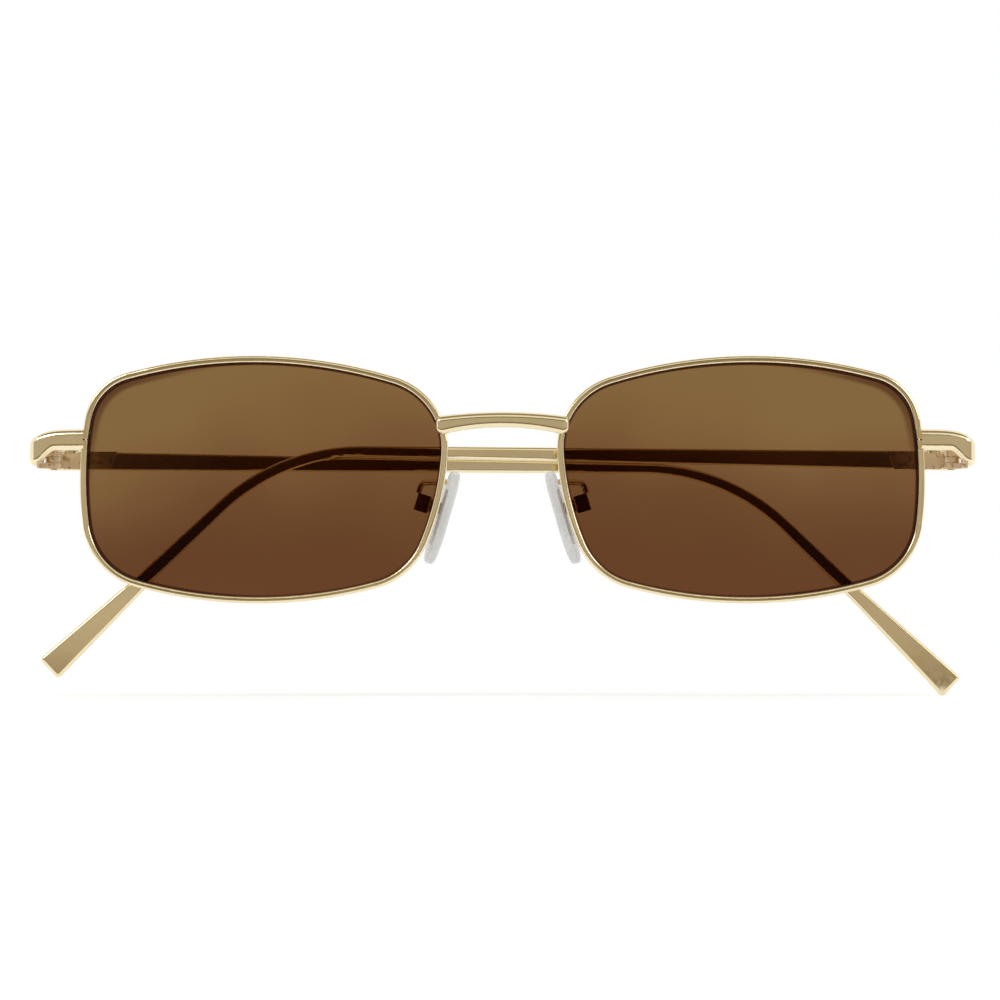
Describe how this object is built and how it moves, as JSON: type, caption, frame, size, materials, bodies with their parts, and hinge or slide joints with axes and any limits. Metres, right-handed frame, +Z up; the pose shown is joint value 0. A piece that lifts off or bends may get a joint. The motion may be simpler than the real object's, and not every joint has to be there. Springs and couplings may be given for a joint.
{
  "type": "narrow rectangle sunglasses",
  "caption": "Narrow rectangular sunglasses with a thin pale gold metal frame, brown lenses, clear nose pads and slim metal temples that fold on screw hinges.",
  "frame": {"origin": "datum point: on the midline, halfway up the rims, at the front face of the frame", "axes": "+X along the front towards the viewer's right, +Y from the front to the back, +Z up; temples folded at rest"},
  "size_m": [0.142, 0.0186, 0.0507],
  "materials": {
    "frame_metal": "polished pale gold plating",
    "hinge_metal": "polished pale gold plating, a little redder",
    "screw_metal": "turned, gold plated",
    "core_metal": "satin",
    "lens_tint": "polished, brown tint",
    "pad_clear": "clear silicone"
  },
  "bodies": {
    "front": {"bridge": "frame_metal", "rim_left": "frame_metal", "lens_left": "lens_tint", "end_piece_left": "frame_metal", "closing_block_upper_left": "frame_metal", "closing_block_lower_left": "frame_metal", "closing_screw_left": "screw_metal", "hinge_front_left": "hinge_metal", "hinge_screw_left": "screw_metal", "pad_arm_left": "frame_metal", "pad_box_left": "frame_metal", "pad_screw_left": "screw_metal", "rim_right": "frame_metal", "lens_right": "lens_tint", "end_piece_right": "frame_metal", "closing_block_upper_right": "frame_metal", "closing_block_lower_right": "frame_metal", "closing_screw_right": "screw_metal", "hinge_front_right": "hinge_metal", "hinge_screw_right": "screw_metal", "pad_arm_right": "frame_metal", "pad_box_right": "frame_metal", "pad_screw_right": "screw_metal"},
    "temple_left": {"hinge_temple_left": "hinge_metal", "temple_left": "frame_metal"},
    "temple_right": {"hinge_temple_right": "hinge_metal", "temple_right": "frame_metal"},
    "pad_left": {"pad_core_left": "core_metal", "nose_pad_left": "pad_clear"},
    "pad_right": {"pad_core_right": "core_metal", "nose_pad_right": "pad_clear"}
  },
  "joints": [
    {"name": "temple_left_fold", "type": "hinge", "parent": "front", "child": "temple_left", "pos_m": [-0.06765, 0.01202, 0.00335], "axis": [0, 0, 1], "range_deg": [0, 91]},
    {"name": "pad_left_rock", "type": "hinge", "parent": "front", "child": "pad_left", "pos_m": [-0.01161, 0.00668, -0.00342], "axis": [0.1001, -0.9945, -0.0302], "range_deg": [-8, 8]},
    {"name": "temple_right_fold", "type": "hinge", "parent": "front", "child": "temple_right", "pos_m": [0.06765, 0.01202, 0.00335], "axis": [0, 0, -1], "range_deg": [0, 92.7]},
    {"name": "pad_right_rock", "type": "hinge", "parent": "front", "child": "pad_right", "pos_m": [0.01161, 0.00668, -0.00342], "axis": [-0.1001, -0.9945, -0.0302], "range_deg": [-8, 8]}
  ]
}
